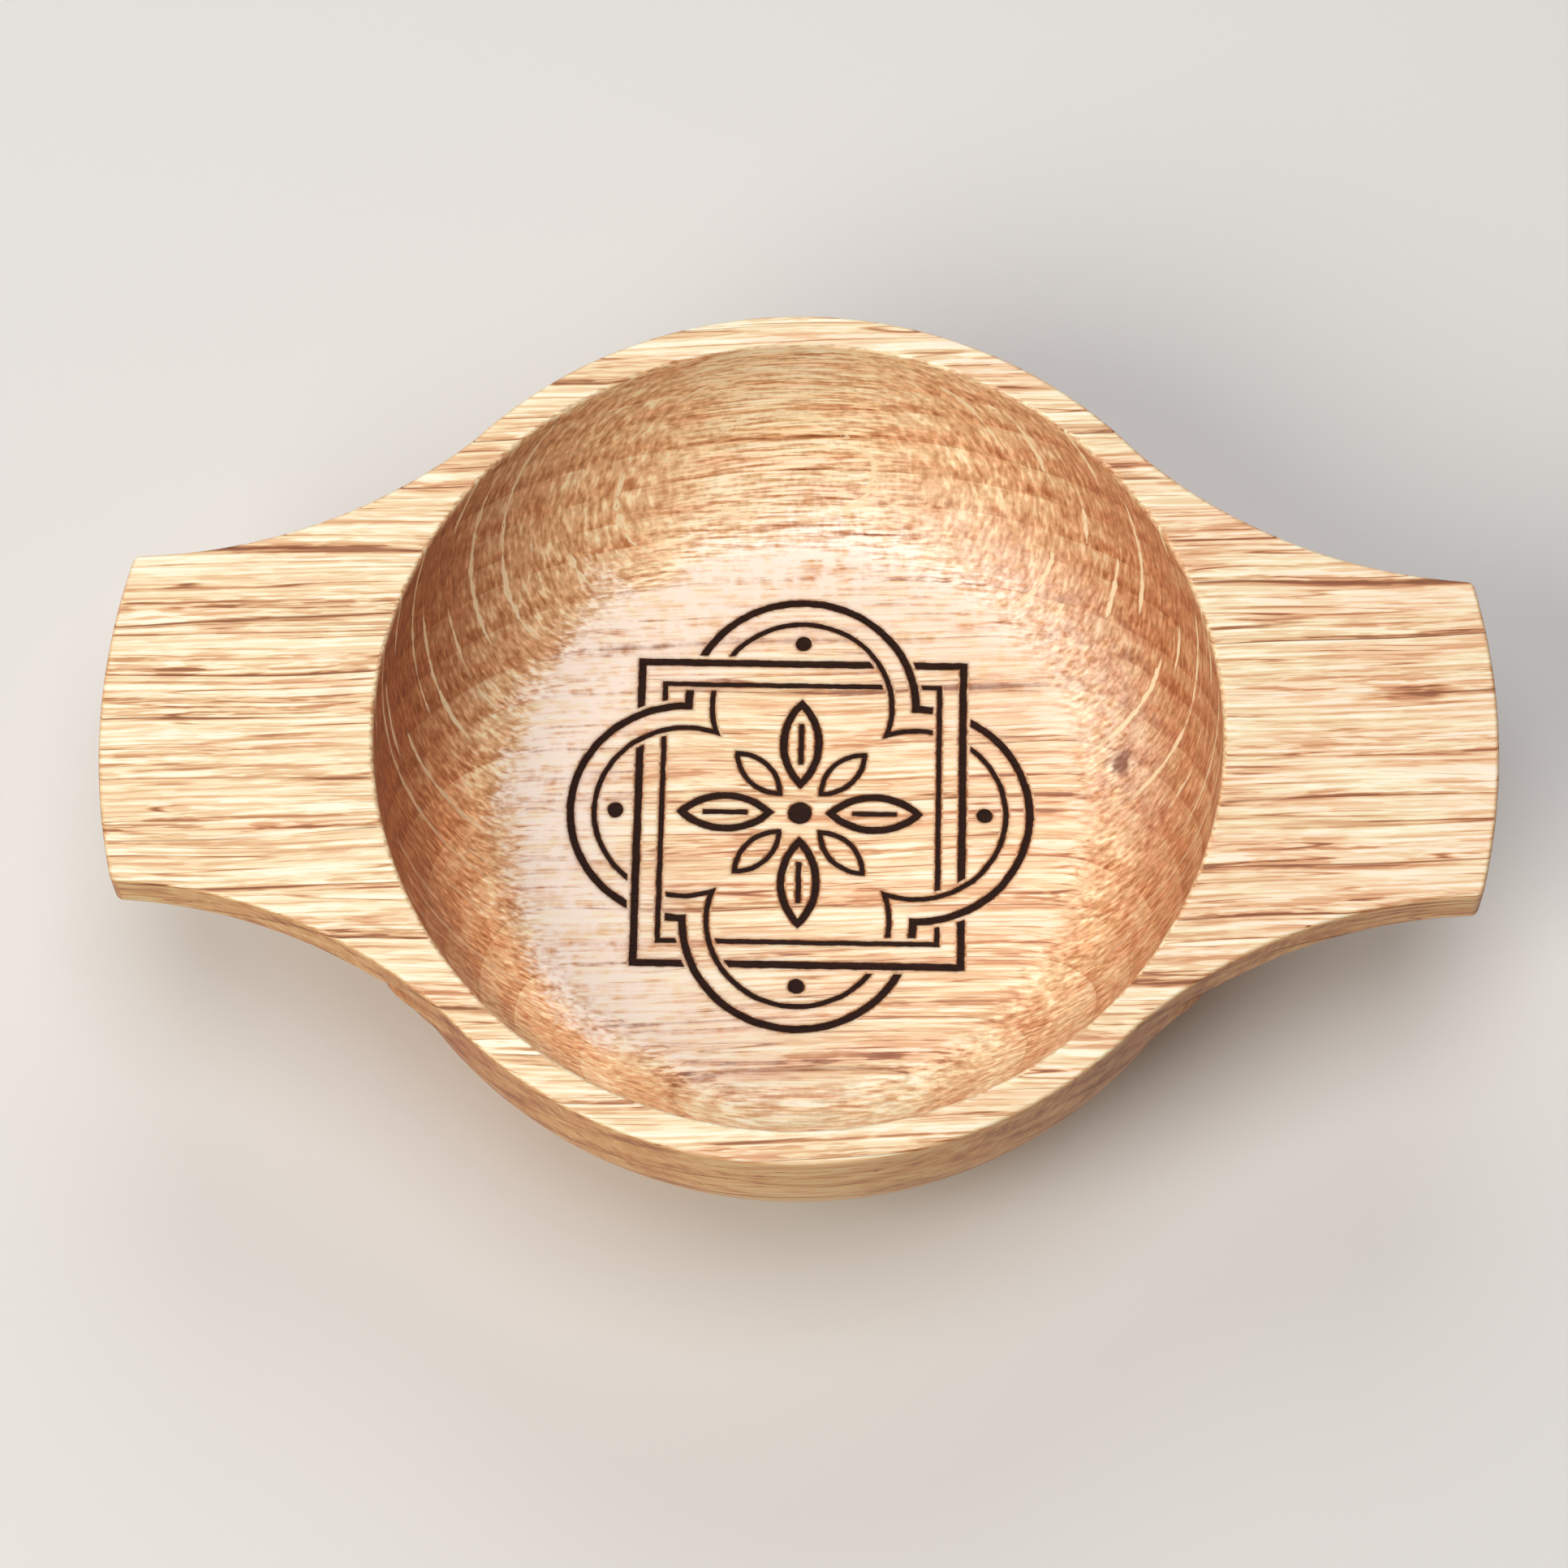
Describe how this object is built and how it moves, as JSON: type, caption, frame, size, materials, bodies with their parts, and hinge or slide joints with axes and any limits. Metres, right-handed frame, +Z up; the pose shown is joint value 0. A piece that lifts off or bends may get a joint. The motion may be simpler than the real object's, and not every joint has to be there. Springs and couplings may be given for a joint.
{
  "type": "quaich",
  "caption": "Shallow round drinking cup turned from oak, with flat lugs level with its rim on opposite sides and burnt interlaced line work on the floor.",
  "frame": {"origin": "centre of the foot, on the plane the cup stands on, under the middle of the bowl", "axes": "+X along the lugs, +Y across the cup, +Z up through the bowl"},
  "size_m": [0.1694, 0.1116, 0.04],
  "materials": {
    "oak": "oiled oak, satin",
    "char": "burnt wood, matte"
  },
  "bodies": {
    "root": {"oak_cup": "oak", "burnt_quatrefoil": "char", "burnt_square": "char", "burnt_leaves": "char"}
  },
  "joints": []
}
